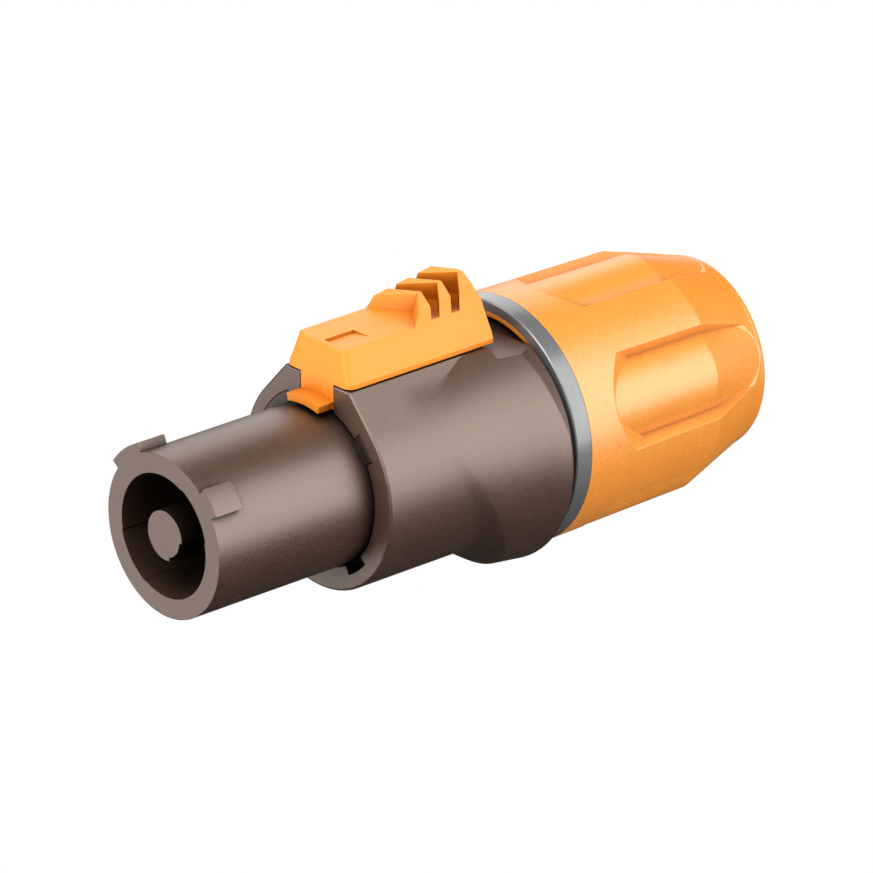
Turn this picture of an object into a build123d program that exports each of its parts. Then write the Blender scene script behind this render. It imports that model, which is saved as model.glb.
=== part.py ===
from build123d import *
from math import acos, asin, atan2, cos, degrees, hypot, radians, sin, sqrt, tan
import os

# A twist-lock power connector for a cable, in millimetres.
# X = 0 is the mating face of the nose and X grows towards the cable. +Z is up, to the latch.
# Angles are about X, counted from straight up and growing towards -Y.

os.makedirs("parts", exist_ok=True)

# general gaps, and how far a cutting block reaches past what it cuts
fit_gap = 0.05
seat_gap = 0.1
cut_margin = 1.0
cut_height = 30.0

# lengths along X, each measured from the end of the one before it
nose_length = 23.16
front_wall_depth = 2.04
housing_length = 26.14
nut_gap = 0.7
trim_ring_length = 2.34
nut_grip_length = 20.96
nut_length = 31.46

# nose and its contacts
nose_radius = 10.0
nose_wall = 2.46
socket_depth = 19.5
pillar_radius = 3.05
pillar_set_back = 0.2
bore_groove_depth = 0.16
bore_groove_angles = ((-153.0, -102.0), (26.0, 78.0))
pillar_flat_angles = (92.0, 164.0)
pillar_flat_depth = 0.42
lug_length = 4.0
lug_height = 1.1
lug_angles = ((-54.0, -24.0), (41.5, 60.0))
contact_thickness = 0.6
contact_half_angle = 14.0
contact_side_angle = 0.5
contact_tip = 6.0
earth_contact_half_width = 1.2
earth_leg_set_back = 3.0
earth_leg_rise = 1.5

# insert behind the nose
flange_step = 1.0
flange_length = 3.0
barrel_step = 0.3
barrel_length = 17.3
rib_angles = ((-58.0, -27.0), (41.0, 60.0))
open_notch_angles = (132.0, 151.0)
rib_clearance_angle = 0.7
notch_depth = 3.5
neck_way_clearance = 0.3

# terminals
line_terminal_angle = -127.0
neutral_terminal_angle = 52.0
earth_terminal_angle = 128.0
terminal_width = 4.8
terminal_inner = 3.9
terminal_cover = 1.0
terminal_lead = 1.5
terminal_length = 9.1
terminal_corner = 0.4
wire_hole_radius = 1.5
wire_hole_rise = 2.2
wire_hole_clearance = 0.2
wire_funnel_radius = 2.2
screw_radius = 1.3
screw_cover = 0.6
screw_slot_width = 0.5
screw_slot_depth = 1.0
plate_thickness = 0.35
plate_lift = 0.95
plate_side_gap = 0.11
plate_end_gap = 0.55

# housing
housing_wall = 1.73
saddle_drop = 0.03
saddle_half_width = 5.8
front_hole_clearance = 0.2
collar_rise = 2.77
collar_drop = 0.5
collar_edge = 0.6
flare_length = 18.3
flare_start_rise = 0.07
flare_lead_slope = 0.12
flare_middle_length = 5.9
flare_middle_rise = 2.13
swell_lag = 2.5
swell_lean = 0.42
swell_profile = ((0.0, -0.5), (1.8, 0.0), (3.5, 1.4), (5.2, 3.0), (7.0, 3.8))
rear_flat_drop = 0.65
rear_flat_length = 5.5
neck_wall = 1.3
thread_neck_length = 12.7
thread_land = 4.5
thread_depth = 0.35
keyway_width = 2.4
keyway_depth = 0.5
front_edge_round = 0.35

# latch
latch_gap = 0.2
latch_rim = 0.55
latch_height = 4.35
latch_set_back = 0.04
latch_length = 23.3
latch_front_lean = 0.45
latch_half_width = 5.7
latch_top_inset = 1.42
latch_peak_inset = 0.73
latch_rear_lean = 0.2
latch_rear_sweep = 0.2
latch_heel = 1.3
latch_travel = 3.0
latch_corner = 1.2
latch_edge_round = 0.25
runner_inset = 1.1
runner_width = 0.8
runner_front_gap = 1.4
runner_rear_gap = 3.5
latch_neck_half_width = 2.9
latch_neck_length = 4.4
tongue_reach = 2.2
tongue_gap = 0.5
tongue_thickness = 0.95
catch_step = 0.7
catch_drop = 0.35
catch_height = 0.6
catch_gap = 0.2
mark_set_back = 1.22
mark_length = 4.5
mark_side = 0.1
mark_width = 2.85
mark_depth = 0.34

# ridges under the thumb
ridge_count = 3
ridge_pitch = 3.1
ridge_set_back = 8.66
ridge_front_lean = 0.388
ridge_front_sweep = 0.79
ridge_rear_sweep = 0.485
ridge_length = 0.6
ridge_first_height = 1.85
ridge_top_rise = 1.25
ridge_top_slope = 0.17
ridge_zone_length = 12.1
ridge_back_lean = 0.57
ridge_back_height = 2.2
groove_floor_rise = 0.3

# spring
slot_length = 15.34
spring_radius = 1.1
spring_wire_radius = 0.22
spring_turns = 8
spring_drop = 0.2
spring_seat_gap = 0.03
spring_channel_gap = 0.38

# clamp nut and trim ring
spigot_height = 1.35
trim_ring_thickness = 1.32
trim_ring_clearance = 0.05
trim_ring_edge = 0.15
nut_taper = 0.34
nut_rim_drop = 2.96
nut_rim_round = 1.0
recess_count = 5
recess_half_angle = 23.0
recess_lead = 7.16
recess_front_angle = 25.0
recess_depth = 1.3
recess_side_angle = 48.0
recess_wall_angle = 3.0
recess_crown_gap = 0.06
recess_draft_drop = 0.1
panel_block_low = 2.0
panel_block_high = 3.0
floor_base_drop = 8.0
thread_clearance = 0.15
nut_seat_length = 1.2
nut_seat_rise = 0.2
nut_cone_lead = 3.5
cable_hole_radius = 8.0
nut_rear_wall = 3.0

# collet, seals
collet_body_step = 0.15
collet_wall = 1.75
collet_grip_step = 2.0
collet_ring_length = 4.5
finger_count = 6
finger_slit = 1.1
finger_set_back = 2.0
finger_taper = 1.75
finger_end_gap = 1.5
finger_slit_lead = 3.5
finger_grip_set_back = 5.0
finger_grip_lead = 2.0
finger_clearance = 0.3
key_clearance = 0.1
seal_set_back = 4.1
seal_wall = 3.15
seal_length = 9.0
seal_lead = 1.0
o_ring_section = 0.6
o_ring_side_gap = 0.1
insert_o_ring_set_back = 4.0
nut_o_ring_lead = 0.84

# stations along X, worked out from the lengths
housing_front = nose_length
housing_bore_start = housing_front + front_wall_depth
flange_end = housing_bore_start + flange_length
barrel_end = flange_end + barrel_length
terminal_front = flange_end + terminal_lead
terminal_end = terminal_front + terminal_length
terminal_middle = (terminal_front + terminal_end) / 2
slot_end = housing_front + slot_length
collar_end = housing_front + housing_length
collar_shoulder = collar_end - collar_edge
flare_start = collar_end - flare_length
flare_middle = collar_end - flare_middle_length
swell_start = flare_start + swell_lag
rear_flat_start = collar_end - rear_flat_length
thread_start = collar_end + thread_land
neck_end = collar_end + thread_neck_length
ring_front = collar_end + nut_gap
nut_front = ring_front + trim_ring_length
nut_taper_start = nut_front + nut_grip_length
nut_end = nut_front + nut_length
nut_rim_start = nut_end - nut_rim_round
recess_front = nut_front + recess_lead
cone_start = neck_end + nut_cone_lead
cone_end = nut_end - nut_rear_wall
finger_start = neck_end + finger_set_back
finger_end = cone_end - finger_end_gap
finger_slit_start = finger_start - finger_slit_lead
finger_grip_start = finger_start + finger_grip_set_back
seal_start = barrel_end + seal_set_back
insert_o_ring_station = barrel_end - insert_o_ring_set_back
nut_o_ring_station = nut_front - nut_o_ring_lead
latch_front = housing_front + latch_set_back
latch_rear = latch_front + latch_length
latch_neck_end = latch_front + latch_neck_length
ridge_zone_front = latch_rear - ridge_zone_length
ridge_front = latch_rear - ridge_set_back

# radii, from the nose outwards
nose_bore_radius = nose_radius - nose_wall
lug_radius = nose_radius + lug_height
barrel_radius = nose_radius + barrel_step
flange_radius = barrel_radius + flange_step
housing_bore_radius = flange_radius + seat_gap
housing_radius = housing_bore_radius + housing_wall
collar_radius = housing_radius + collar_rise
flare_start_radius = housing_radius + flare_start_rise
flare_middle_radius = housing_radius + flare_middle_rise
neck_radius = housing_bore_radius + neck_wall
thread_root_radius = neck_radius - thread_depth
thread_bore_radius = neck_radius + thread_clearance
o_ring_seat_radius = neck_radius + o_ring_section + nut_seat_rise
spigot_radius = neck_radius + spigot_height
nut_radius = spigot_radius + trim_ring_thickness
nut_taper_radius = nut_radius - nut_taper
nut_rim_radius = nut_taper_radius - nut_rim_drop
collet_radius = housing_bore_radius - seat_gap
collet_body_radius = collet_radius - collet_body_step
collet_bore_radius = collet_body_radius - collet_wall
collet_grip_radius = collet_bore_radius - collet_grip_step
finger_tip_radius = collet_body_radius - finger_taper
seal_outer = collet_bore_radius - fit_gap
seal_bore_radius = seal_outer - seal_wall
insert_groove_radius = housing_bore_radius - 2 * (o_ring_section + fit_gap)
o_ring_half_seat = o_ring_section + o_ring_side_gap
terminal_outer = barrel_radius - terminal_cover
screw_top = barrel_radius - screw_cover
wire_hole_height = terminal_inner + wire_hole_rise
plate_top = wire_hole_height + plate_lift
plate_width = 2 * (sqrt(wire_hole_radius**2 - plate_lift**2) - plate_side_gap)
plate_length = terminal_length - 2 * plate_end_gap
terminal_angles = {
    "line": line_terminal_angle,
    "neutral": neutral_terminal_angle,
    "earth": earth_terminal_angle,
}

# heights and half widths of the latch and what holds it
saddle_height = housing_radius - saddle_drop
rear_flat_height = saddle_height - rear_flat_drop
latch_base = saddle_height + latch_gap
latch_top = latch_base + latch_height
latch_heel_height = latch_base + latch_heel
latch_top_half_width = latch_half_width - latch_top_inset
latch_peak_half_width = latch_top_half_width - latch_peak_inset
tongue_inner = nose_radius + tongue_gap
tongue_outer = tongue_inner + tongue_thickness
catch_half_width = latch_neck_half_width + catch_step
catch_base = tongue_inner - catch_drop
slot_half_width = latch_neck_half_width + seat_gap
ridge_top_front = latch_top + ridge_top_rise
spring_height = saddle_height - spring_drop
spring_channel_half_width = spring_radius + spring_wire_radius + spring_channel_gap
spring_channel_top = spring_height + spring_channel_half_width


def at(radius, angle):
    """Point in the YZ plane at a radius and an angle from straight up."""
    return (-radius * sin(radians(angle)), radius * cos(radians(angle)))


def ring_sector(inner, outer, start, end):
    """Face between two radii and two angles, in the sketch that is open."""
    middle = (start + end) / 2
    with BuildLine() as outline:
        ThreePointArc(at(outer, start), at(outer, middle), at(outer, end))
        Line(at(outer, end), at(inner, end))
        ThreePointArc(at(inner, end), at(inner, middle), at(inner, start))
        Line(at(inner, start), at(outer, start))
    make_face(outline.edges())


def station(x):
    """Sketch plane across the axis at a station."""
    return Plane.YZ.offset(x)


def radial_plane(angle):
    """Sketch plane that holds the axis: local x runs along X, local y runs outward."""
    across = (0, -cos(radians(angle)), -sin(radians(angle)))
    return Plane(origin=(0, 0, 0), x_dir=(1, 0, 0), z_dir=across)


def outward_plane(x, radius, angle):
    """Sketch plane at a station and radius that faces outward."""
    y, z = at(radius, angle)
    outward = (0, -sin(radians(angle)), cos(radians(angle)))
    return Plane(origin=(x, y, z), x_dir=(1, 0, 0), z_dir=outward)


def turned(points, mode=Mode.ADD):
    """Solid of revolution about X from a closed outline of (station, radius) points."""
    with BuildSketch(Plane.XZ) as profile:
        with BuildLine():
            Polyline(*points, close=True)
        make_face()
    revolve(profile.sketch, axis=Axis.X, mode=mode)


# collar at the back of the housing: it swells out of the tube with a front that lies further back
# below than above, and a long flare, a little lower than the tube, is its outer limit
swell_sections = [
    (swell_start + distance, housing_radius + rise) for distance, rise in swell_profile
]
swell_end = collar_end + swell_lean * (collar_radius + cut_margin)
swell_sections.append((swell_end, swell_sections[-1][1]))
with BuildPart() as collar:
    for x, swell_radius in swell_sections:
        with BuildSketch(Plane(origin=(x, 0, 0), x_dir=(0, 1, 0), z_dir=(1, 0, swell_lean))):
            Ellipse(swell_radius, swell_radius * hypot(1, swell_lean))
    loft()
    with BuildSketch(Plane.XZ):
        with BuildLine():
            Spline(
                (flare_start, flare_start_radius),
                (flare_middle, flare_middle_radius),
                (collar_shoulder, collar_radius),
                tangents=((1, flare_lead_slope), (1, flare_lead_slope)),
            )
            RadiusArc(
                (collar_shoulder, collar_radius),
                (collar_end, collar_radius - collar_edge),
                collar_edge,
            )
            Line((collar_end, collar_radius - collar_edge), (collar_end, 0))
            Line((collar_end, 0), (flare_start, 0))
            Line((flare_start, 0), (flare_start, flare_start_radius))
        make_face()
    flare = revolve(axis=Axis.X, mode=Mode.PRIVATE)
    add(flare.moved(Location((0, 0, -collar_drop))), mode=Mode.INTERSECT)

# housing shell: saddle for the latch on top, the collar, neck under the nut with the thread's
# root cut round it
saddle_hypotenuse = hypot(saddle_half_width, saddle_height)
saddle_tangent = degrees(
    atan2(saddle_half_width, saddle_height) + acos(housing_radius / saddle_hypotenuse)
)
with BuildPart() as housing_shell:
    turned(
        (
            (housing_front, 0),
            (housing_front, housing_radius),
            (collar_end, housing_radius),
            (collar_end, neck_radius),
            (thread_start, neck_radius),
            (thread_start + thread_depth, thread_root_radius),
            (neck_end, thread_root_radius),
            (neck_end, 0),
        )
    )
    with BuildSketch(station(housing_front)):
        with BuildLine():
            Polyline(
                (0, 0),
                at(housing_radius, -saddle_tangent),
                (saddle_half_width, saddle_height),
                (-saddle_half_width, saddle_height),
                at(housing_radius, saddle_tangent),
                close=True,
            )
        make_face()
    extrude(amount=rear_flat_start - housing_front)
    fillet(
        housing_shell.edges().filter_by_position(Axis.X, housing_front, housing_front),
        front_edge_round,
    )
    add(collar.part)
    # flats above: one under the latch, one lower behind it
    with Locations((housing_front, 0, saddle_height)):
        Box(
            rear_flat_start - housing_front,
            2 * (collar_radius + cut_margin),
            cut_height,
            align=(Align.MIN, Align.CENTER, Align.MIN),
            mode=Mode.SUBTRACT,
        )
    with Locations((rear_flat_start, 0, rear_flat_height)):
        Box(
            collar_end - rear_flat_start,
            2 * (collar_radius + cut_margin),
            cut_height,
            align=(Align.MIN, Align.CENTER, Align.MIN),
            mode=Mode.SUBTRACT,
        )
    # bore for the insert and the collet, hole for the nose
    turned(
        (
            (housing_front - cut_margin, 0),
            (housing_front - cut_margin, nose_radius + front_hole_clearance),
            (housing_bore_start, nose_radius + front_hole_clearance),
            (housing_bore_start, housing_bore_radius),
            (neck_end + cut_margin, housing_bore_radius),
            (neck_end + cut_margin, 0),
        ),
        mode=Mode.SUBTRACT,
    )
    with BuildSketch(station(housing_front - cut_margin)):
        for start, end in (*rib_angles, open_notch_angles):
            ring_sector(nose_radius, flange_radius + fit_gap, start, end)
    extrude(amount=notch_depth, mode=Mode.SUBTRACT)
    # slot that the latch's neck and spring lie in
    with Locations((housing_front - cut_margin, 0, nose_radius - cut_margin)):
        Box(
            slot_end - housing_front + cut_margin,
            2 * slot_half_width,
            cut_height,
            align=(Align.MIN, Align.CENTER, Align.MIN),
            mode=Mode.SUBTRACT,
        )
    # keyways that stop the collet from turning, and the seat of the nut's sealing ring
    with Locations((barrel_end, 0, 0)):
        Box(
            neck_end - barrel_end + cut_margin,
            2 * (housing_bore_radius + keyway_depth),
            keyway_width,
            align=(Align.MIN, Align.CENTER, Align.CENTER),
            mode=Mode.SUBTRACT,
        )
    turned(
        (
            (nut_o_ring_station - o_ring_half_seat, neck_radius - o_ring_section),
            (nut_o_ring_station - o_ring_half_seat, neck_radius + cut_margin),
            (nut_o_ring_station + o_ring_half_seat, neck_radius + cut_margin),
            (nut_o_ring_station + o_ring_half_seat, neck_radius - o_ring_section),
        ),
        mode=Mode.SUBTRACT,
    )

# nose and contact carrier, one moulding
contact_outer = nose_bore_radius + bore_groove_depth
contact_inner = contact_outer - contact_thickness
pillar_flat_radius = pillar_radius - pillar_flat_depth
earth_leg_inner = pillar_flat_radius - contact_thickness
earth_leg_outer = terminal_inner + earth_leg_rise
earth_leg_front = socket_depth + earth_leg_set_back


def earth_path(gap):
    """Outline of the earth contact's step from the pillar out to its terminal."""
    with BuildLine() as outline:
        Polyline(
            (contact_tip - gap, pillar_flat_radius - contact_thickness - gap),
            (contact_tip - gap, pillar_flat_radius + gap),
            (earth_leg_front - gap, pillar_flat_radius + gap),
            (earth_leg_front - gap, earth_leg_outer + gap),
            (terminal_front + gap, earth_leg_outer + gap),
            (terminal_front + gap, earth_leg_outer - contact_thickness - gap),
            (earth_leg_front + contact_thickness + gap, earth_leg_outer - contact_thickness - gap),
            (earth_leg_front + contact_thickness + gap, pillar_flat_radius - contact_thickness - gap),
            close=True,
        )
    make_face(outline.edges())


with BuildPart() as nose_insert:
    turned(
        (
            (0, nose_bore_radius),
            (0, nose_radius),
            (housing_bore_start, nose_radius),
            (housing_bore_start, flange_radius),
            (flange_end, flange_radius),
            (flange_end, barrel_radius),
            (barrel_end, barrel_radius),
            (barrel_end, 0),
            (pillar_set_back, 0),
            (pillar_set_back, pillar_radius),
            (socket_depth, pillar_radius),
            (socket_depth, nose_bore_radius),
        )
    )
    # shallow contact grooves in the bore and on the pillar
    with BuildSketch(station(-cut_margin)):
        for start, end in bore_groove_angles:
            ring_sector(nose_bore_radius - cut_margin, contact_outer, start, end)
        ring_sector(pillar_flat_radius, pillar_radius + cut_margin, *pillar_flat_angles)
    extrude(amount=socket_depth + cut_margin, mode=Mode.SUBTRACT)
    # twist-lock lugs at the front
    with BuildSketch(Plane.YZ):
        for start, end in lug_angles:
            ring_sector(nose_bore_radius + cut_margin, lug_radius, start, end)
    extrude(amount=lug_length)
    # ribs that fill two notches of the housing's front wall
    with BuildSketch(station(housing_front)):
        for start, end in rib_angles:
            ring_sector(
                nose_bore_radius + cut_margin,
                flange_radius,
                start + rib_clearance_angle,
                end - rib_clearance_angle,
            )
    extrude(amount=front_wall_depth)
    # way for the latch's neck over the flange
    neck_way_angle = degrees(atan2(catch_half_width + neck_way_clearance, nose_radius))
    with BuildSketch(station(housing_bore_start)):
        ring_sector(nose_radius, flange_radius + cut_margin, -neck_way_angle, neck_way_angle)
    extrude(amount=flange_length, mode=Mode.SUBTRACT)
    # terminal chambers, wire funnels and the ways of the contacts
    for name, angle in terminal_angles.items():
        with BuildSketch(radial_plane(angle)):
            with BuildLine():
                Polyline(
                    (terminal_front, terminal_inner - seat_gap),
                    (terminal_end + seat_gap, terminal_inner - seat_gap),
                    (terminal_end + seat_gap, barrel_radius + cut_margin),
                    (terminal_front, barrel_radius + cut_margin),
                    close=True,
                )
            make_face()
        extrude(amount=terminal_width / 2 + seat_gap, both=True, mode=Mode.SUBTRACT)
        with BuildSketch(station(terminal_end)):
            with Locations(at(wire_hole_height, angle)):
                Circle(wire_hole_radius + wire_hole_clearance)
        with BuildSketch(station(barrel_end)):
            with Locations(at(wire_hole_height, angle)):
                Circle(wire_funnel_radius)
        loft(mode=Mode.SUBTRACT)
        if name == "earth":
            with BuildSketch(radial_plane(angle)):
                earth_path(fit_gap)
            extrude(amount=earth_contact_half_width + fit_gap, both=True, mode=Mode.SUBTRACT)
        else:
            with BuildSketch(station(socket_depth - cut_margin)):
                ring_sector(
                    contact_inner - fit_gap,
                    contact_outer,
                    angle - contact_half_angle - contact_side_angle,
                    angle + contact_half_angle + contact_side_angle,
                )
            extrude(amount=terminal_front - socket_depth + cut_margin, mode=Mode.SUBTRACT)
    # groove of the insert's sealing ring
    turned(
        (
            (insert_o_ring_station - o_ring_half_seat, insert_groove_radius),
            (insert_o_ring_station - o_ring_half_seat, barrel_radius + cut_margin),
            (insert_o_ring_station + o_ring_half_seat, barrel_radius + cut_margin),
            (insert_o_ring_station + o_ring_half_seat, insert_groove_radius),
        ),
        mode=Mode.SUBTRACT,
    )

nodes = {"housing_shell": housing_shell, "nose_insert": nose_insert}

# contact springs, bent from strip
for name, angle in terminal_angles.items():
    with BuildPart() as contact:
        if name == "earth":
            with BuildSketch(radial_plane(angle)):
                earth_path(0)
            extrude(amount=earth_contact_half_width, both=True)
        else:
            with BuildSketch(station(contact_tip)):
                ring_sector(
                    contact_inner,
                    contact_outer,
                    angle - contact_half_angle,
                    angle + contact_half_angle,
                )
            extrude(amount=terminal_front - contact_tip)
    nodes["contact_" + name] = contact

# screw terminals: a brass block with a wire hole along X and a tapped hole from outside
for name, angle in terminal_angles.items():
    with BuildPart() as terminal:
        with BuildSketch(radial_plane(angle)):
            with BuildLine():
                Polyline(
                    (terminal_front, terminal_inner),
                    (terminal_end, terminal_inner),
                    (terminal_end, terminal_outer),
                    (terminal_front, terminal_outer),
                    close=True,
                )
            make_face()
        extrude(amount=terminal_width / 2, both=True)
        chamfer(terminal.edges().filter_by(Axis.X), terminal_corner)
        with BuildSketch(station(terminal_front)):
            with Locations(at(wire_hole_height, angle)):
                Circle(wire_hole_radius)
        extrude(amount=terminal_length, mode=Mode.SUBTRACT)
        with BuildSketch(outward_plane(terminal_middle, wire_hole_height, angle)):
            Circle(screw_radius + fit_gap)
        extrude(amount=terminal_outer, mode=Mode.SUBTRACT)
    nodes["terminal_" + name] = terminal

# pressure plates that the screws push onto the wires
for name, angle in terminal_angles.items():
    with BuildPart() as wire_plate:
        with BuildSketch(outward_plane(terminal_middle, plate_top, angle)):
            RectangleRounded(plate_length, plate_width, plate_thickness)
        extrude(amount=-plate_thickness)
    nodes["wire_plate_" + name] = wire_plate

# slotted grub screws
with BuildPart() as terminal_screws:
    for angle in terminal_angles.values():
        with BuildSketch(outward_plane(terminal_middle, plate_top, angle)):
            Circle(screw_radius)
        extrude(amount=screw_top - plate_top)
        with BuildSketch(outward_plane(terminal_middle, screw_top, angle)):
            Rectangle(screw_slot_width, 2 * screw_radius + cut_margin)
        extrude(amount=-screw_slot_depth, mode=Mode.SUBTRACT)
nodes["terminal_screws"] = terminal_screws

# release latch: thumb block with three swept ridges, a neck and a locking tongue
ridge_peak = ridge_top_front + ridge_top_slope * (latch_rear - ridge_zone_front)
ridge_rise = ridge_peak - latch_top
latch_reach = 2 * latch_half_width
heel_rise = ridge_peak + cut_margin - latch_heel_height
with BuildPart() as latch_slide:
    with BuildSketch(Plane.XZ):
        with BuildLine():
            Polyline(
                (latch_front, latch_base),
                (latch_front + latch_front_lean, latch_top),
                (ridge_zone_front, latch_top),
                (ridge_zone_front, ridge_top_front),
                (latch_rear, ridge_peak),
                (latch_rear, latch_base),
                close=True,
            )
        make_face()
    extrude(amount=latch_reach, both=True)
    with BuildSketch(station(0)):
        with BuildLine():
            ThreePointArc(
                (latch_half_width, latch_base + latch_rim),
                (latch_top_half_width, latch_top),
                (latch_peak_half_width, ridge_peak),
            )
            Line((latch_peak_half_width, ridge_peak), (-latch_peak_half_width, ridge_peak))
            ThreePointArc(
                (-latch_peak_half_width, ridge_peak),
                (-latch_top_half_width, latch_top),
                (-latch_half_width, latch_base + latch_rim),
            )
            Polyline(
                (-latch_half_width, latch_base + latch_rim),
                (-latch_half_width, latch_base),
                (latch_half_width, latch_base),
                (latch_half_width, latch_base + latch_rim),
            )
        make_face()
    extrude(amount=2 * latch_rear, mode=Mode.INTERSECT)
    fillet(
        latch_slide.edges()
        .filter_by_position(Axis.X, latch_front, latch_front + latch_front_lean)
        .filter_by(lambda edge: edge.bounding_box().size.Z > latch_rim / 2),
        latch_corner,
    )
    fillet(
        latch_slide.edges()
        .filter_by_position(Axis.Z, latch_top, latch_top)
        .filter_by_position(Axis.X, latch_front, ridge_zone_front)
        .filter_by(lambda edge: edge.center().X < ridge_zone_front),
        latch_edge_round,
    )
    # swept faces in plan: the first ridge's front over the flat top, and the rear of the block
    for side in (1, -1):
        with BuildSketch(Plane.XZ):
            with BuildLine():
                Polyline(
                    (latch_front, latch_top),
                    (ridge_front, latch_top),
                    (ridge_front + ridge_rise * ridge_front_lean, ridge_peak),
                    (latch_front, ridge_peak),
                    close=True,
                )
            make_face()
        extrude(
            amount=latch_reach * sqrt(1 + ridge_front_sweep**2),
            dir=(-ridge_front_sweep, side, 0),
            mode=Mode.SUBTRACT,
        )
        with BuildSketch(Plane.XZ):
            with BuildLine():
                Polyline(
                    (latch_rear, latch_base - cut_margin),
                    (latch_rear, latch_heel_height),
                    (latch_rear - latch_rear_lean * heel_rise, latch_heel_height + heel_rise),
                    (latch_rear + latch_reach, latch_heel_height + heel_rise),
                    (latch_rear + latch_reach, latch_base - cut_margin),
                    close=True,
                )
            make_face()
        extrude(
            amount=latch_reach * sqrt(1 + latch_rear_sweep**2),
            dir=(-latch_rear_sweep, side, 0),
            mode=Mode.SUBTRACT,
        )
    # swept grooves between the ridges, cut down nearly to the level of the flat top
    ridge_lead = ridge_front + ridge_front_lean * ridge_first_height
    for index in range(ridge_count - 1):
        groove_front = ridge_lead + ridge_length + index * ridge_pitch
        groove_rear = ridge_lead + (index + 1) * ridge_pitch
        with BuildSketch(Plane.XY.offset(latch_top + groove_floor_rise)):
            with BuildLine():
                Polyline(
                    (groove_front, 0),
                    (groove_front - ridge_rear_sweep * latch_half_width, latch_half_width),
                    (groove_rear - ridge_front_sweep * latch_half_width, latch_half_width),
                    (groove_rear, 0),
                    (groove_rear - ridge_front_sweep * latch_half_width, -latch_half_width),
                    (groove_front - ridge_rear_sweep * latch_half_width, -latch_half_width),
                    close=True,
                )
            make_face()
        extrude(amount=ridge_rise, mode=Mode.SUBTRACT)
    # the last ridge falls away behind its crest
    last_crest = ridge_lead + ridge_length + (ridge_count - 1) * ridge_pitch
    for side in (1, -1):
        with BuildSketch(Plane.XZ):
            with BuildLine():
                Polyline(
                    (last_crest, ridge_peak),
                    (last_crest + ridge_back_lean * ridge_back_height, ridge_peak - ridge_back_height),
                    (latch_rear + latch_reach, ridge_peak - ridge_back_height),
                    (latch_rear + latch_reach, ridge_peak),
                    close=True,
                )
            make_face()
        extrude(
            amount=latch_reach * sqrt(1 + ridge_rear_sweep**2),
            dir=(-ridge_rear_sweep, side, 0),
            mode=Mode.SUBTRACT,
        )
    # moulded mark on the flat top: a shallow wedge, deepest along the middle
    with BuildSketch(station(latch_front + mark_set_back)):
        with BuildLine():
            Polyline(
                (mark_side, latch_top - mark_depth),
                (mark_side - mark_width, latch_top),
                (mark_side - mark_width, latch_top + cut_margin),
                (mark_side, latch_top + cut_margin),
                close=True,
            )
        make_face()
    extrude(amount=mark_length, mode=Mode.SUBTRACT)
    # neck down through the housing's slot, with catches under the wall
    neck_height = latch_base - tongue_inner
    with BuildSketch(station(latch_front)):
        with Locations((0, tongue_inner)):
            Rectangle(2 * latch_neck_half_width, 2 * neck_height)
        Circle(tongue_inner, mode=Mode.SUBTRACT)
    extrude(amount=latch_neck_length)
    with BuildSketch(station(housing_bore_start + catch_gap)):
        with Locations((0, catch_base)):
            Rectangle(2 * catch_half_width, catch_height, align=(Align.CENTER, Align.MIN))
        Circle(tongue_inner, mode=Mode.SUBTRACT)
    extrude(amount=latch_neck_end - housing_bore_start - catch_gap)
    # tongue that reaches forward over the nose
    tongue_angle = degrees(asin(latch_neck_half_width / tongue_outer))
    with BuildSketch(station(latch_front - tongue_reach)):
        ring_sector(tongue_inner, tongue_outer, -tongue_angle, tongue_angle)
    extrude(amount=tongue_reach + cut_margin)
    # runners under the block that slide on the housing
    runner_height = latch_base - saddle_height - fit_gap
    runner_offset = latch_half_width - runner_inset - runner_width / 2
    runner_front = latch_front + runner_front_gap
    with Locations(
        (runner_front, runner_offset, latch_base),
        (runner_front, -runner_offset, latch_base),
    ):
        Box(
            latch_rear - runner_rear_gap - runner_front,
            runner_width,
            runner_height,
            align=(Align.MIN, Align.CENTER, Align.MAX),
        )
    # channel for the spring
    with Locations((latch_neck_end, 0, saddle_height)):
        Box(
            slot_end - latch_neck_end + latch_travel,
            2 * spring_channel_half_width,
            spring_channel_top - saddle_height,
            align=(Align.MIN, Align.CENTER, Align.MIN),
            mode=Mode.SUBTRACT,
        )
nodes["latch_slide"] = latch_slide

# return spring of the latch, between its neck and the end of the slot
spring_end_gap = spring_wire_radius + spring_seat_gap
spring_length = slot_end - latch_neck_end - 2 * spring_end_gap
with BuildPart() as latch_spring:
    with BuildLine() as spring_path:
        Helix(
            pitch=spring_length / spring_turns,
            height=spring_length,
            radius=spring_radius,
            center=(latch_neck_end + spring_end_gap, 0, spring_height),
            direction=(1, 0, 0),
        )
    with BuildSketch(Plane(origin=spring_path.line @ 0, z_dir=spring_path.line % 0)):
        Circle(spring_wire_radius)
    sweep(path=spring_path.line, is_frenet=True)
nodes["latch_spring"] = latch_spring

# trim ring on the nut's spigot
ring_inner = spigot_radius + trim_ring_clearance
with BuildPart() as trim_ring:
    turned(
        (
            (ring_front, ring_inner),
            (ring_front, nut_radius - trim_ring_edge),
            (ring_front + trim_ring_edge, nut_radius),
            (nut_front - trim_ring_clearance, nut_radius),
            (nut_front - trim_ring_clearance, ring_inner),
        )
    )
nodes["trim_ring"] = trim_ring

# clamp nut, still plain: a thread bore, a seat for its sealing ring and a cone for the collet
finger_slope = finger_taper / (finger_end - finger_start)


def cone_radius(x):
    """Radius of the nut's inner cone, parallel to the collet's fingers."""
    return collet_body_radius - finger_slope * (x - finger_start) + finger_clearance


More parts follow.
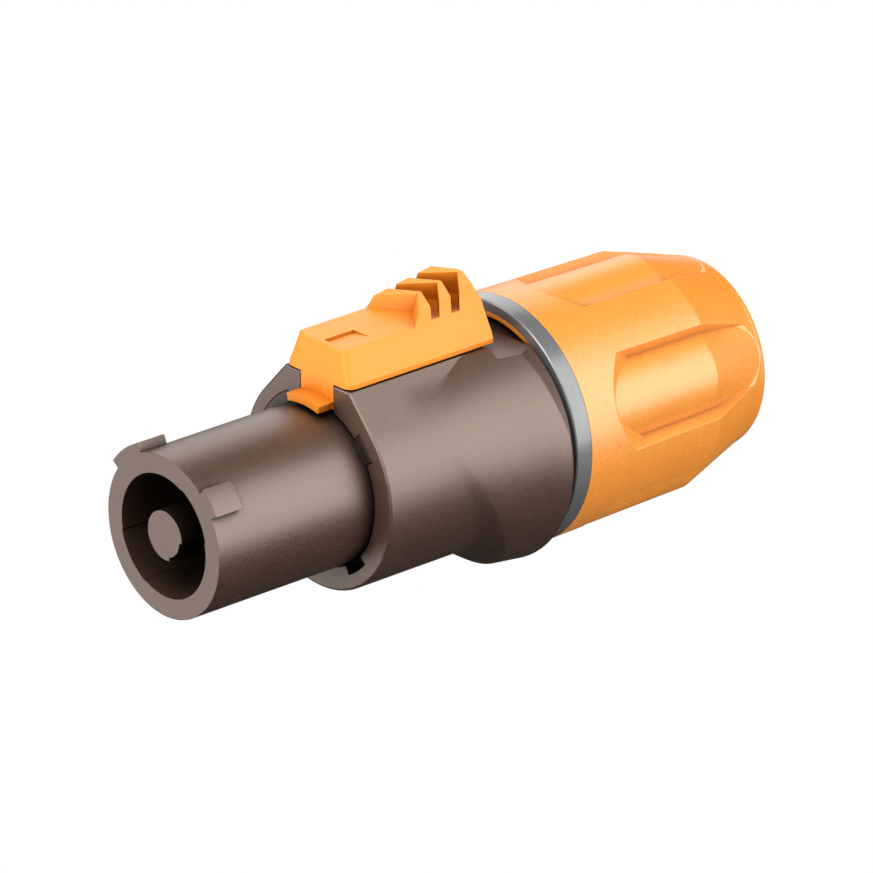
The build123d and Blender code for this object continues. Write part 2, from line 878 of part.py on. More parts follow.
with BuildPart() as nut_body:
    with BuildSketch(Plane.XZ):
        with BuildLine():
            Polyline(
                (nut_rim_start, nut_rim_radius),
                (nut_taper_start, nut_taper_radius),
                (nut_front, nut_radius),
                (nut_front, spigot_radius),
                (ring_front, spigot_radius),
                (ring_front, o_ring_seat_radius),
                (nut_front + nut_seat_length, o_ring_seat_radius),
                (nut_front + nut_seat_length, thread_bore_radius),
                (cone_start, thread_bore_radius),
                (cone_start, cone_radius(cone_start)),
                (cone_end, cone_radius(cone_end)),
                (cone_end, cable_hole_radius),
                (nut_end, cable_hole_radius),
                (nut_end, nut_rim_radius - nut_rim_round),
            )
            RadiusArc(
                (nut_end, nut_rim_radius - nut_rim_round),
                (nut_rim_start, nut_rim_radius),
                -nut_rim_round,
            )
        make_face()
    revolve(axis=Axis.X)

# one grip panel: a block with sloped walls, less the crowned floor that stays in the nut
panel_edge_radius = nut_radius - recess_draft_drop
floor_edge_radius = panel_edge_radius - recess_depth
floor_edge_angle = recess_half_angle - recess_wall_angle


def floor_face(x, crown, edge_radius):
    """Cross-section of a crowned floor at a station: an arc over its two edges, closed far below."""
    base_height = edge_radius - floor_base_drop
    with BuildSketch(station(x)) as section:
        with BuildLine():
            ThreePointArc(
                at(edge_radius, -floor_edge_angle), (0, crown), at(edge_radius, floor_edge_angle)
            )
            Polyline(
                at(edge_radius, floor_edge_angle),
                (-edge_radius, base_height),
                (edge_radius, base_height),
                at(edge_radius, -floor_edge_angle),
            )
        make_face()
    return section.sketch


wall_run = tan(radians(recess_side_angle))
front_run = 1 / tan(radians(recess_front_angle))
edge_height = panel_edge_radius * cos(radians(recess_half_angle))
edge_half_width = panel_edge_radius * sin(radians(recess_half_angle))
panel_length = nut_end + cut_margin - recess_front
with BuildPart() as panel_tool:
    with BuildSketch(Plane.XY.offset(edge_height - panel_block_low)):
        with Locations((recess_front + panel_block_low * front_run, 0)):
            Rectangle(
                panel_length,
                2 * (edge_half_width - panel_block_low * wall_run),
                align=(Align.MIN, Align.CENTER),
            )
    with BuildSketch(Plane.XY.offset(edge_height + panel_block_high)):
        with Locations((recess_front - panel_block_high * front_run, 0)):
            Rectangle(
                panel_length + (panel_block_low + panel_block_high) * front_run,
                2 * (edge_half_width + panel_block_high * wall_run),
                align=(Align.MIN, Align.CENTER),
            )
    loft(ruled=True)
    floor_front = floor_face(nut_front, nut_radius - recess_crown_gap, floor_edge_radius)
    floor_break = floor_face(
        nut_taper_start, nut_taper_radius - recess_crown_gap, floor_edge_radius - nut_taper
    )
    floor_rim = floor_face(nut_rim_start, nut_rim_radius - recess_crown_gap, nut_rim_radius)
    loft((floor_front, floor_break), ruled=True, mode=Mode.SUBTRACT)
    loft((floor_break, floor_rim), ruled=True, mode=Mode.SUBTRACT)

with BuildPart() as clamp_nut:
    add(nut_body.part)
    for index in range(recess_count):
        add(panel_tool.part.rotate(Axis.X, -index * 360 / recess_count), mode=Mode.SUBTRACT)
nodes["clamp_nut"] = clamp_nut

# collet: keyed ring, thin body and slit fingers that the nut's cone presses onto the cable
with BuildPart() as cable_collet:
    turned(
        (
            (barrel_end, collet_grip_radius),
            (barrel_end, collet_radius),
            (barrel_end + collet_ring_length, collet_radius),
            (barrel_end + collet_ring_length, collet_body_radius),
            (finger_start, collet_body_radius),
            (finger_end, finger_tip_radius),
            (finger_end, collet_grip_radius),
            (finger_grip_start, collet_grip_radius),
            (finger_grip_start - finger_grip_lead, collet_bore_radius),
            (seal_start, collet_bore_radius),
            (seal_start, collet_grip_radius),
        )
    )
    key_half_angle = degrees(atan2(keyway_width / 2 - key_clearance, collet_radius))
    with BuildSketch(station(barrel_end)):
        for angle in (-90, 90):
            ring_sector(
                collet_bore_radius + cut_margin,
                housing_bore_radius + keyway_depth - key_clearance,
                angle - key_half_angle,
                angle + key_half_angle,
            )
    extrude(amount=collet_ring_length)
    with BuildSketch(station(finger_slit_start)):
        with PolarLocations(collet_body_radius, finger_count):
            Rectangle(collet_body_radius, finger_slit)
    extrude(amount=finger_end - finger_slit_start, mode=Mode.SUBTRACT)
nodes["cable_collet"] = cable_collet

# rubber sleeve round the cable, inside the collet
with BuildPart() as cable_seal:
    turned(
        (
            (seal_start, seal_bore_radius),
            (seal_start, seal_outer),
            (seal_start + seal_length, seal_outer),
            (seal_start + seal_length, seal_bore_radius + seal_lead),
            (seal_start + seal_length - seal_lead, seal_bore_radius),
        )
    )
nodes["cable_seal"] = cable_seal

# sealing rings
with BuildPart() as insert_o_ring:
    with BuildSketch(Plane.XZ):
        with Locations((insert_o_ring_station, housing_bore_radius - o_ring_section - fit_gap)):
            Circle(o_ring_section)
    revolve(axis=Axis.X)
nodes["insert_o_ring"] = insert_o_ring

with BuildPart() as nut_o_ring:
    with BuildSketch(Plane.XZ):
        with Locations((nut_o_ring_station, neck_radius + fit_gap)):
            Circle(o_ring_section)
    revolve(axis=Axis.X)
nodes["nut_o_ring"] = nut_o_ring

for name, node in nodes.items():
    node.part.label = name
    export_step(node.part, "parts/" + name + ".step")
    print(name, "volume", round(node.part.volume, 1), "solids", len(node.part.solids()))
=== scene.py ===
import math
import bmesh
import bpy
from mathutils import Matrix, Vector


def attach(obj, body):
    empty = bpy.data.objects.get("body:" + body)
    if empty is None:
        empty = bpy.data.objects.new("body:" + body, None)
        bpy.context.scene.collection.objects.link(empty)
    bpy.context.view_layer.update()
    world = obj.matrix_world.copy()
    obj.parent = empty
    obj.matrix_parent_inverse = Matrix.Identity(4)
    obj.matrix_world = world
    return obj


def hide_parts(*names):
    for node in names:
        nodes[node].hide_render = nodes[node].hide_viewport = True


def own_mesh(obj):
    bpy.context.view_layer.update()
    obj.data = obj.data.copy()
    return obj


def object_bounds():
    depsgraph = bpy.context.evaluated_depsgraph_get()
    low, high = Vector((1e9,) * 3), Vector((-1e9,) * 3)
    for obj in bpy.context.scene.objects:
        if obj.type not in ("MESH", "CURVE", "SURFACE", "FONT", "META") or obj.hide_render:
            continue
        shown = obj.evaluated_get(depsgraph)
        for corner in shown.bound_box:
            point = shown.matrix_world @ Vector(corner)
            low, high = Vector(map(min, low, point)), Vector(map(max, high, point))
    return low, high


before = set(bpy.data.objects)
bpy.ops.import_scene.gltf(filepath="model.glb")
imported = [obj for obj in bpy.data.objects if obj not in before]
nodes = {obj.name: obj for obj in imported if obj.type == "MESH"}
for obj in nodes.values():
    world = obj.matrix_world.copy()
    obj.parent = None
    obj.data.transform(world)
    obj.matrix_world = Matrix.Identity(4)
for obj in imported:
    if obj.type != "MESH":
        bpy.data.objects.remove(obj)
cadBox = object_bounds()
mm = 0.001
white = (1, 1, 1, 1)
print("frame loaded:", len(nodes), "nodes")


def toLinear(hexColour):
    # the numbers are those of the sRGB curve
    channels = [int(hexColour[i:i + 2], 16) / 255 for i in (1, 3, 5)]
    return [c / 12.92 if c <= 0.04045 else ((c + 0.055) / 1.055) ** 2.4 for c in channels] + [1.0]


def addNode(tree, kind, inputs=None, **settings):
    node = tree.nodes.new(kind)
    for name, value in settings.items():
        setattr(node, name, value)
    for socket, value in (inputs or {}).items():
        if isinstance(value, bpy.types.NodeSocket):
            tree.links.new(value, node.inputs[socket])
        else:
            node.inputs[socket].default_value = value
    return node


def emptyMaterial(name):
    material = bpy.data.materials.new(name)
    material.use_nodes = True
    material.node_tree.nodes.clear()
    return material


# camera: long lens, above the connector and off its nose to one side
viewPoint = {"lensMm": 328.5, "place": (-0.524767, -0.646859, 0.372786), "azimuth": -41.202, "elevation": 23.408}
cameraData = bpy.data.cameras.new("camera")
cameraData.lens = viewPoint["lensMm"]
camera = bpy.data.objects.new("camera", cameraData)
camera.location = viewPoint["place"]
camera.rotation_euler = (math.radians(90 - viewPoint["elevation"]), 0, math.radians(viewPoint["azimuth"]))
bpy.context.scene.collection.objects.link(camera)
bpy.context.scene.camera = camera
bpy.context.scene.view_settings.view_transform = "Standard"
print("camera set")

# studio: soft boxes aimed at the middle of the connector, each with its direction from there. -X is the nose's
# end and -Y the side that the camera sees. The tubes mirror sideBox and backBox, which draw the highlights along
# them. The boxes on the nose's end give them plain light. Lengths are in metres.
studio = {
    "middle": Vector((0.042, 0, 0)),
    "floorDrop": 0.5,  # from the connector's underside
    "floorSize": 6.0,
    "floorColour": "#bdbbb8",
    "floorGloss": 0.03,  # what the connector's gloss sees of the floor
    "roomLight": 0.07,
    "background": 1.0,  # 1 is white to the camera
    "lamps": {
        "sideBox": {"toward": (0.42, -0.83, 0.33), "distance": 0.8, "width": 1.0, "height": 1.0, "watts": 9.1},
        "backBox": {"toward": (0.60, 0.68, 0.42), "distance": 0.8, "width": 0.3, "height": 0.8, "watts": 1.45},
        "topBox": {"toward": (-0.55, -0.20, 0.80), "distance": 0.8, "width": 0.5, "height": 0.5, "watts": 5.0},
        "rearTop": {"toward": (-0.60, 0.60, 0.53), "distance": 0.8, "width": 0.4, "height": 0.4, "watts": 2.4},
        "ceiling": {"toward": (0.05, -0.05, 1.0), "distance": 0.9, "width": 1.4, "height": 1.4, "watts": 0.35},
        "frontBox": {"toward": (-0.97, -0.18, 0.18), "distance": 0.8, "width": 0.5, "height": 0.5, "watts": 3.4},
        "lowBox": {"toward": (-0.62, 0.69, -0.36), "distance": 0.7, "width": 0.3, "height": 0.3, "watts": 0.65},
        "fillBox": {"toward": (-0.30, -0.85, 0.40), "distance": 0.8, "width": 0.5, "height": 0.5, "watts": 0.3},
    },
}
for name, lamp in studio["lamps"].items():
    lampData = bpy.data.lights.new(name, "AREA")
    lampData.shape = "RECTANGLE"
    lampData.size = lamp["width"]
    lampData.size_y = lamp["height"]
    lampData.energy = lamp["watts"]
    lampObject = bpy.data.objects.new(name, lampData)
    direction = Vector(lamp["toward"]).normalized()
    lampObject.location = studio["middle"] + direction * lamp["distance"]
    lampObject.rotation_euler = direction.to_track_quat("Z", "Y").to_euler()
    bpy.context.scene.collection.objects.link(lampObject)

# room: dim for the light and the gloss on the connector, white where the camera looks past it
world = bpy.data.worlds.new("room")
bpy.context.scene.world = world
world.use_nodes = True
roomTree = world.node_tree
roomTree.nodes.clear()
rays = addNode(roomTree, "ShaderNodeLightPath")
seenDirectly = addNode(
    roomTree, "ShaderNodeMath", {0: rays.outputs["Is Camera Ray"], 1: rays.outputs["Is Transmission Ray"]},
    operation="MAXIMUM")
dimRoom = addNode(roomTree, "ShaderNodeBackground", {"Color": white, "Strength": studio["roomLight"]})
whiteRoom = addNode(roomTree, "ShaderNodeBackground", {"Color": white, "Strength": studio["background"]})
roomMix = addNode(
    roomTree, "ShaderNodeMixShader", {0: seenDirectly.outputs[0], 1: dimRoom.outputs[0], 2: whiteRoom.outputs[0]})
addNode(roomTree, "ShaderNodeOutputWorld", {"Surface": roomMix.outputs[0]})

# floor: pale matt board, white to the camera and dim to the gloss on the connector's underside
floorMaterial = emptyMaterial("paleBoard")
floorTree = floorMaterial.node_tree
rays = addNode(floorTree, "ShaderNodeLightPath")
seenDirectly = addNode(
    floorTree, "ShaderNodeMath", {0: rays.outputs["Is Camera Ray"], 1: rays.outputs["Is Transmission Ray"]},
    operation="MAXIMUM")
board = addNode(floorTree, "ShaderNodeBsdfDiffuse", {"Color": toLinear(studio["floorColour"])})
dimBoard = addNode(floorTree, "ShaderNodeEmission", {"Color": white, "Strength": studio["floorGloss"]})
whiteBoard = addNode(floorTree, "ShaderNodeEmission", {"Color": white, "Strength": studio["background"]})
boardMix = addNode(
    floorTree, "ShaderNodeMixShader",
    {0: rays.outputs["Is Glossy Ray"], 1: board.outputs[0], 2: dimBoard.outputs[0]})
floorMix = addNode(
    floorTree, "ShaderNodeMixShader",
    {0: seenDirectly.outputs[0], 1: boardMix.outputs[0], 2: whiteBoard.outputs[0]})
addNode(floorTree, "ShaderNodeOutputMaterial", {"Surface": floorMix.outputs[0]})
floorMesh = bpy.data.meshes.new("floor")
floorShape = bmesh.new()
bmesh.ops.create_grid(floorShape, x_segments=1, y_segments=1, size=studio["floorSize"] / 2)
bmesh.ops.translate(floorShape, verts=floorShape.verts, vec=(0, 0, cadBox[0][2] - studio["floorDrop"]))
floorShape.to_mesh(floorMesh)
floorShape.free()
floorMesh.materials.append(floorMaterial)
floor = bpy.data.objects.new("floor", floorMesh)
bpy.context.scene.collection.objects.link(floor)
print("studio set")

# what every moulded piece has where its own look gives nothing else
mouldedDefaults = {
    "grainDetail": 3.0, "grainRoughness": 0.6, "cloudDetail": 2.0,
    "noiseLow": 0.3, "noiseHigh": 0.7,  # most of the noise lies between these
    "darkAt": 0.32, "colourAt": 0.5, "lightAt": 0.68,  # places of the three colours in the grain's noise
    "shadeFrom": 0.25, "shadeTo": 0.85,  # how open a corner is where its shade is full, and where it ends
    "shadeSamples": 6, "shadedGloss": 0.15,  # the share of gloss left in full shade
    "glossSpread": 0.05, "edgeSamples": 4, "sheen": "#ffffff", "softZone": None,
}


def mouldedPlastic(name, ownLook):
    look = {**mouldedDefaults, **ownLook}
    material = emptyMaterial(name)
    tree = material.node_tree
    place = addNode(tree, "ShaderNodeTexCoord").outputs["Object"]
    grain = addNode(tree, "ShaderNodeTexNoise", {
        "Vector": place, "Scale": 1 / (look["grainMm"] * mm), "Detail": look["grainDetail"],
        "Roughness": look["grainRoughness"]})
    cloud = addNode(tree, "ShaderNodeTexNoise", {
        "Vector": place, "Scale": 1 / (look["cloudMm"] * mm), "Detail": look["cloudDetail"]})
    speckle = addNode(tree, "ShaderNodeValToRGB", {"Fac": grain.outputs["Fac"]})
    speckle.color_ramp.elements[0].position = look["darkAt"]
    speckle.color_ramp.elements[0].color = toLinear(look["darkFleck"])
    speckle.color_ramp.elements[1].position = look["lightAt"]
    speckle.color_ramp.elements[1].color = toLinear(look["lightFleck"])
    between = speckle.color_ramp.elements.new(look["colourAt"])
    between.color = toLinear(look["colour"])
    cloudMask = addNode(tree, "ShaderNodeMapRange", {
        "Value": cloud.outputs["Fac"], "From Min": look["noiseLow"], "From Max": look["noiseHigh"],
        "To Max": look["cloudAmount"]})
    clouded = addNode(tree, "ShaderNodeMix", {
        "Factor": cloudMask.outputs["Result"], "A": speckle.outputs["Color"], "B": toLinear(look["lightFleck"])},
        data_type="RGBA")
    # painted shade: deep corners and bores are darkened in colour towards shadeColour and keep little gloss
    openness = addNode(
        tree, "ShaderNodeAmbientOcclusion", {"Distance": look["shadeMm"] * mm}, samples=look["shadeSamples"])
    shade = addNode(tree, "ShaderNodeMapRange", {
        "Value": openness.outputs["AO"], "From Min": look["shadeFrom"], "From Max": look["shadeTo"]})
    colour = addNode(tree, "ShaderNodeMix", {
        "Factor": shade.outputs["Result"], "A": toLinear(look["shadeColour"]), "B": clouded.outputs["Result"]},
        data_type="RGBA")
    sheenLevel = addNode(tree, "ShaderNodeMapRange", {
        "Value": shade.outputs["Result"], "To Min": look["shadedGloss"] * look["specular"],
        "To Max": look["specular"]})
    roundEdge = addNode(
        tree, "ShaderNodeBevel", {"Radius": look["edgeMm"] * mm}, samples=look["edgeSamples"])
    facing = roundEdge.outputs["Normal"]
    if look["softZone"]:
        zone = look["softZone"]
        coordinates = addNode(tree, "ShaderNodeSeparateXYZ", {"Vector": place})
        beginsAt = addNode(tree, "ShaderNodeMapRange", {
            "Value": coordinates.outputs["X"],
            "From Min": zone["front"][0] * mm, "From Max": zone["front"][1] * mm})
        endsBefore = addNode(tree, "ShaderNodeMapRange", {
            "Value": coordinates.outputs["X"],
            "From Min": zone["back"][0] * mm, "From Max": zone["back"][1] * mm, "To Min": 1.0, "To Max": 0.0})
        endsBelow = addNode(tree, "ShaderNodeMapRange", {
            "Value": coordinates.outputs["Z"],
            "From Min": zone["top"][0] * mm, "From Max": zone["top"][1] * mm, "To Min": 1.0, "To Max": 0.0})
        along = addNode(
            tree, "ShaderNodeMath", {0: beginsAt.outputs["Result"], 1: endsBefore.outputs["Result"]},
            operation="MULTIPLY")
        softness = addNode(
            tree, "ShaderNodeMath", {0: along.outputs[0], 1: endsBelow.outputs["Result"]}, operation="MULTIPLY")
        edgeRadius = addNode(
            tree, "ShaderNodeMath", {0: softness.outputs[0], 1: zone["radiusMm"] * mm, 2: look["edgeMm"] * mm},
            operation="MULTIPLY_ADD")
        tree.links.new(edgeRadius.outputs[0], roundEdge.inputs["Radius"])
        # in the zone the surface is turned to face straight out from the connector's axis, so that the light
        # runs along it almost without a break
        fromAxis = addNode(tree, "ShaderNodeVectorMath", {0: place, 1: (0.0, 1.0, 1.0)}, operation="MULTIPLY")
        outward = addNode(tree, "ShaderNodeVectorMath", {0: fromAxis.outputs[0]}, operation="NORMALIZE")
        share = addNode(
            tree, "ShaderNodeMath", {0: softness.outputs[0], 1: zone["evenness"]}, operation="MULTIPLY")
        evened = addNode(
            tree, "ShaderNodeMix", {"Factor": share.outputs[0], "A": facing, "B": outward.outputs[0]},
            data_type="VECTOR")
        facing = addNode(
            tree, "ShaderNodeVectorMath", {0: evened.outputs["Result"]}, operation="NORMALIZE").outputs[0]
    bump = addNode(tree, "ShaderNodeBump", {
        "Height": grain.outputs["Fac"], "Strength": look["bump"], "Distance": look["bumpMm"] * mm,
        "Normal": facing})
    gloss = addNode(tree, "ShaderNodeMapRange", {
        "Value": grain.outputs["Fac"], "From Min": look["noiseLow"], "From Max": look["noiseHigh"],
        "To Min": look["roughness"] - look["glossSpread"], "To Max": look["roughness"] + look["glossSpread"]})
    shader = addNode(tree, "ShaderNodeBsdfPrincipled", {
        "Base Color": colour.outputs["Result"], "Roughness": gloss.outputs["Result"], "IOR": look["ior"],
        "Specular IOR Level": sheenLevel.outputs["Result"], "Specular Tint": toLinear(look["sheen"]),
        "Normal": bump.outputs["Normal"]})
    addNode(tree, "ShaderNodeOutputMaterial", {"Surface": shader.outputs[0]})
    return material


# what every metal piece has where its own look gives nothing else. The real turning and drawing lines are too
# fine to show, so lineMm in the looks is drawn coarser.
metalDefaults = {
    "metallic": 1.0, "coat": 0.0, "coatRoughness": 0.1, "coatIor": 1.5,
    "lineDetail": 4.0, "stainDetail": 3.0,
    "noiseLow": 0.3, "noiseHigh": 0.7,  # most of the noise lies between these
    "glossSpread": 0.06, "bumpMm": 0.02, "edgeSamples": 4,
}


def metal(name, ownLook):
    look = {**metalDefaults, **ownLook}
    material = emptyMaterial(name)
    tree = material.node_tree
    place = addNode(tree, "ShaderNodeTexCoord").outputs["Object"]
    stretched = addNode(tree, "ShaderNodeMapping", {"Vector": place, "Scale": look["stretch"]})
    scratches = addNode(tree, "ShaderNodeTexNoise", {
        "Vector": stretched.outputs["Vector"], "Scale": 1 / (look["lineMm"] * mm), "Detail": look["lineDetail"]})
    stain = addNode(tree, "ShaderNodeTexNoise", {
        "Vector": place, "Scale": 1 / (look["stainMm"] * mm), "Detail": look["stainDetail"]})
    tone = addNode(tree, "ShaderNodeValToRGB", {"Fac": scratches.outputs["Fac"]})
    tone.color_ramp.elements[0].position = look["noiseLow"]
    tone.color_ramp.elements[0].color = toLinear(look["dark"])
    tone.color_ramp.elements[1].position = look["noiseHigh"]
    tone.color_ramp.elements[1].color = toLinear(look["light"])
    gloss = addNode(tree, "ShaderNodeMapRange", {
        "Value": stain.outputs["Fac"], "From Min": look["noiseLow"], "From Max": look["noiseHigh"],
        "To Min": look["roughness"] - look["glossSpread"], "To Max": look["roughness"] + look["glossSpread"]})
    roundEdge = addNode(
        tree, "ShaderNodeBevel", {"Radius": look["edgeMm"] * mm}, samples=look["edgeSamples"])
    bump = addNode(tree, "ShaderNodeBump", {
        "Height": scratches.outputs["Fac"], "Strength": look["bump"], "Distance": look["bumpMm"] * mm,
        "Normal": roundEdge.outputs["Normal"]})
    shader = addNode(tree, "ShaderNodeBsdfPrincipled", {
        "Base Color": tone.outputs["Color"], "Metallic": look["metallic"], "Roughness": gloss.outputs["Result"],
        "Normal": bump.outputs["Normal"], "Coat Weight": look["coat"], "Coat Roughness": look["coatRoughness"],
        "Coat IOR": look["coatIor"], "Coat Normal": bump.outputs["Normal"]})
    addNode(tree, "ShaderNodeOutputMaterial", {"Surface": shader.outputs[0]})
    return material


# Glass-filled nylon, moulded in a spark-eroded tool: a matt grain over grey-brown with a warm sheen. The real
# grain is under 0.1 mm, finer than a pixel, so here and on the other mouldings grainMm is drawn coarser to show.
# softZone is the front of the collar's swell in mm, where the edge rounds off widely: it sets in along X over
# front, ends over back, and in height ends over top.
housingLook = {
    "colour": "#402b1d", "darkFleck": "#301f16", "lightFleck": "#523d30", "grainMm": 0.18, "cloudMm": 3.0,
    "cloudAmount": 0.15, "bump": 0.36, "bumpMm": 0.05, "roughness": 0.44, "specular": 1.0, "ior": 1.76,
    "sheen": "#ffe9dd", "edgeMm": 0.12, "edgeSamples": 8, "shadeMm": 4.0, "shadeColour": "#17100c",
    "softZone": {
        "front": (29.0, 32.0), "back": (46.5, 48.0), "top": (10.5, 12.2), "radiusMm": 3.4, "evenness": 0.7},
}
# the same nylon in a smoother tool: a little glossier, and with wide painted shade that turns nearly black deep in
# the socket
noseLook = {
    **housingLook, "darkFleck": "#2e1e16", "lightFleck": "#533d30", "bump": 0.4, "roughness": 0.4, "ior": 1.74,
    "shadeMm": 8.0, "shadeFrom": 0.58, "shadeColour": "#0b0705", "softZone": None,
}
# polycarbonate blend in a fine tool: even orange with a soft sheen and hardly any grain; its deep orange painted
# shade spreads far out from grooves and edges
latchLook = {
    "colour": "#f8962a", "darkFleck": "#f69328", "lightFleck": "#f9992d", "grainMm": 0.4, "cloudMm": 6.0,
    "cloudAmount": 0.2, "bump": 0.1, "bumpMm": 0.03, "roughness": 0.43, "specular": 0.4, "ior": 1.5,
    "edgeMm": 0.12, "shadeMm": 4.5, "shadeColour": "#a04a06", "shadeTo": 0.97,
}
# the orange blend in the grained tool: small light and dark flecks where the grain catches light
nutLook = {
    "colour": "#f49223", "darkFleck": "#e27f16", "lightFleck": "#ffa333", "grainMm": 0.2, "cloudMm": 3.5,
    "cloudAmount": 0.2, "bump": 0.36, "bumpMm": 0.06, "roughness": 0.41, "specular": 1.0, "ior": 1.76,
    "sheen": "#fff8ea", "edgeMm": 0.15, "shadeMm": 2.0, "shadeColour": "#7c3d08",
}
# dark glass-filled nylon of the collet, moulded and dull, with pale fibre flecks
colletLook = {
    "colour": "#2b2c2e", "darkFleck": "#222325", "lightFleck": "#3c3d40", "grainMm": 0.3, "cloudMm": 4.0,
    "cloudAmount": 0.2, "bump": 0.3, "bumpMm": 0.05, "roughness": 0.6, "specular": 0.4, "ior": 1.5,
    "edgeMm": 0.1, "shadeMm": 4.0, "shadeColour": "#0c0c0d",
}
# moulded nitrile rubber: black, dull, with a faint bloom
rubberLook = {
    "colour": "#191817", "darkFleck": "#131211", "lightFleck": "#24221f", "grainMm": 0.4, "cloudMm": 2.0,
    "cloudAmount": 0.4, "bump": 0.2, "bumpMm": 0.04, "roughness": 0.7, "specular": 0.3, "ior": 1.52,
    "edgeMm": 0.1, "shadeMm": 3.0, "shadeColour": "#080807",
}
# nickel-plated ring, turned on a lathe and bead blasted: rings of tone round the axis and a satin sheen
ringLook = {
    "dark": "#737475", "light": "#808182", "metallic": 0.6, "coat": 0.9, "coatRoughness": 0.26, "coatIor": 1.9,
    "stretch": (1.0, 0.04, 0.04), "lineMm": 0.12, "stainMm": 3.0, "roughness": 0.65, "bump": 0.15,
    "edgeMm": 0.06,
}
# stamped brass strip, bright with fine drawing lines along it
contactLook = {
    "dark": "#c4a25a", "light": "#e0c382", "stretch": (0.05, 1.0, 1.0), "lineMm": 0.1, "stainMm": 2.0,
    "roughness": 0.3, "bump": 0.1, "edgeMm": 0.05,
}
# milled brass block, a little duller than the strip
terminalLook = {
    "dark": "#b4934f", "light": "#d0b06a", "stretch": (1.0, 0.1, 0.1), "lineMm": 0.15, "stainMm": 1.5,
    "roughness": 0.38, "bump": 0.15, "edgeMm": 0.08,
}
# zinc-plated steel: pale grey with a faint cloudiness
zincLook = {
    "dark": "#a3a5a8", "light": "#c6c8cb", "stretch": (1.0, 1.0, 1.0), "lineMm": 0.3, "stainMm": 0.8,
    "roughness": 0.34, "bump": 0.1, "edgeMm": 0.05,
}
# drawn spring wire: bright steel with lines that run round the coil
wireLook = {
    "dark": "#9a9b9d", "light": "#bdbec0", "stretch": (1.0, 0.3, 0.3), "lineMm": 0.08, "stainMm": 1.0,
    "roughness": 0.28, "bump": 0.1, "edgeMm": 0.02,
}

mouldedNylon = mouldedPlastic("mouldedNylon", housingLook)
smoothNylon = mouldedPlastic("smoothNylon", noseLook)
latchBlend = mouldedPlastic("latchPolycarbonateBlend", latchLook)
nutBlend = mouldedPlastic("nutPolycarbonateBlend", nutLook)
darkNylon = mouldedPlastic("darkNylon", colletLook)
nitrileRubber = mouldedPlastic("nitrileRubber", rubberLook)
nickelPlate = metal("nickelPlate", ringLook)
stampedBrass = metal("stampedBrass", contactLook)
milledBrass = metal("milledBrass", terminalLook)
zincPlate = metal("zincPlate", zincLook)
springWire = metal("springWire", wireLook)

nodeMaterials = {
    "housing_shell": mouldedNylon, "nose_insert": smoothNylon, "latch_slide": latchBlend, "clamp_nut": nutBlend,
    "trim_ring": nickelPlate, "cable_collet": darkNylon, "cable_seal": nitrileRubber,
    "insert_o_ring": nitrileRubber, "nut_o_ring": nitrileRubber, "terminal_screws": zincPlate,
    "latch_spring": springWire,
}
for wire in ("line", "neutral", "earth"):
    nodeMaterials["contact_" + wire] = stampedBrass
    nodeMaterials["terminal_" + wire] = milledBrass
    nodeMaterials["wire_plate_" + wire] = zincPlate
for name, material in nodeMaterials.items():
    for materialSlot in nodes[name].material_slots:
        materialSlot.material = material
print("materials assigned")


def asObject(name, shape, material, smooth):
    bmesh.ops.recalc_face_normals(shape, faces=shape.faces)
    mesh = bpy.data.meshes.new(name)
    shape.to_mesh(mesh)
    shape.free()
    for face in mesh.polygons:
        face.use_smooth = smooth
    mesh.materials.append(material)
    piece = bpy.data.objects.new(name, mesh)
    bpy.context.scene.collection.objects.link(piece)
    return piece


# winds the outline round an axis along X through middle, in stages of so many turns at a pitch in mm
def wound(shape, outline, middle, stages, stepsPerTurn):
    loop = [shape.edges.new((outline[i - 1], outline[i])) for i in range(len(outline))]
    bmesh.ops.contextual_create(shape, geom=loop)
    last = outline + loop
    for turns, pitch in stages:
        turned = bmesh.ops.spin(
            shape, geom=last, cent=middle, axis=(1, 0, 0), dvec=(pitch * mm / stepsPerTurn, 0, 0),
            angle=2 * math.pi * turns, steps=round(turns * stepsPerTurn))
        last = turned["geom_last"]
    bmesh.ops.contextual_create(shape, geom=[part for part in last if isinstance(part, bmesh.types.BMEdge)])


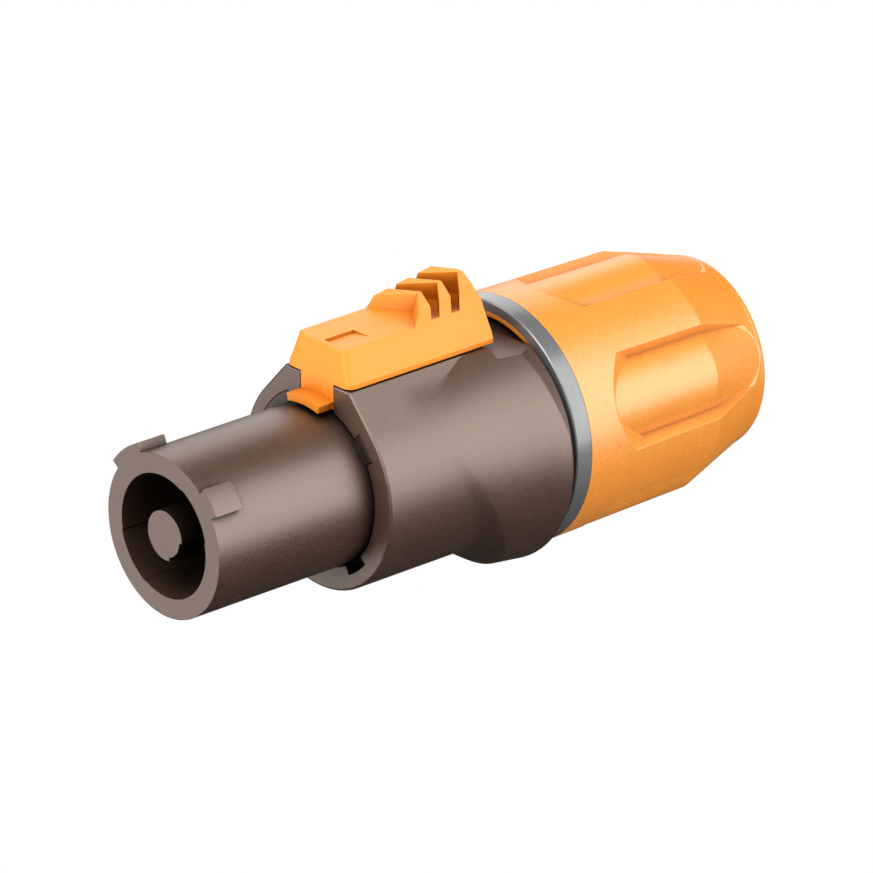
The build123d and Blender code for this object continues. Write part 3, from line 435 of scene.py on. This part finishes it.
# return spring of the latch: closed turns at both ends and open turns between, from the latch's neck to the
# slot's end. Lengths are in mm, and front and back are the middle of the wire at its two ends.
spring = {
    "front": 27.85, "back": 38.25, "height": 12.9, "coilRadius": 1.1, "wireRadius": 0.22,
    "closedTurns": 1, "closedPitch": 0.46, "openTurns": 6, "wireSides": 12, "stepsPerTurn": 36,
    "seat": 38.5, "pull": 3.0,  # the slot's end, and how far the latch slides
}
springShape = bmesh.new()
springOutline = [
    springShape.verts.new(((spring["front"] + spring["wireRadius"] * math.cos(turn)) * mm, 0,
                           (spring["height"] + spring["coilRadius"] + spring["wireRadius"] * math.sin(turn)) * mm))
    for turn in (2 * math.pi * i / spring["wireSides"] for i in range(spring["wireSides"]))]
closedLength = spring["closedTurns"] * spring["closedPitch"]
openPitch = (spring["back"] - spring["front"] - 2 * closedLength) / spring["openTurns"]
closedEnd = (spring["closedTurns"], spring["closedPitch"])
wound(springShape, springOutline, (0, 0, spring["height"] * mm),
      [closedEnd, (spring["openTurns"], openPitch), closedEnd], spring["stepsPerTurn"])
latchCoil = asObject("latchCoil", springShape, springWire, smooth=True)
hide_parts("latch_spring")
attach(latchCoil, "housing")
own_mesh(latchCoil)
print("spring made")

# thread that the clamp nut runs on: one ridge wound round the housing's neck, with its foot sunk into it.
# Lengths are in mm.
thread = {
    "start": 54.9, "turns": 2.6, "pitch": 2.5, "baseRadius": 12.25, "crestRadius": 12.7, "baseWidth": 1.7,
    "crestWidth": 0.7, "stepsPerTurn": 96,
}
threadShape = bmesh.new()
threadOutline = [
    threadShape.verts.new(((thread["start"] + x) * mm, 0, radius * mm))
    for x, radius in (
        (-thread["baseWidth"] / 2, thread["baseRadius"]), (-thread["crestWidth"] / 2, thread["crestRadius"]),
        (thread["crestWidth"] / 2, thread["crestRadius"]), (thread["baseWidth"] / 2, thread["baseRadius"]))]
wound(threadShape, threadOutline, (0, 0, 0), [(thread["turns"], thread["pitch"])], thread["stepsPerTurn"])
neckThread = asObject("neckThread", threadShape, mouldedNylon, smooth=False)
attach(neckThread, "housing")
print("thread made")
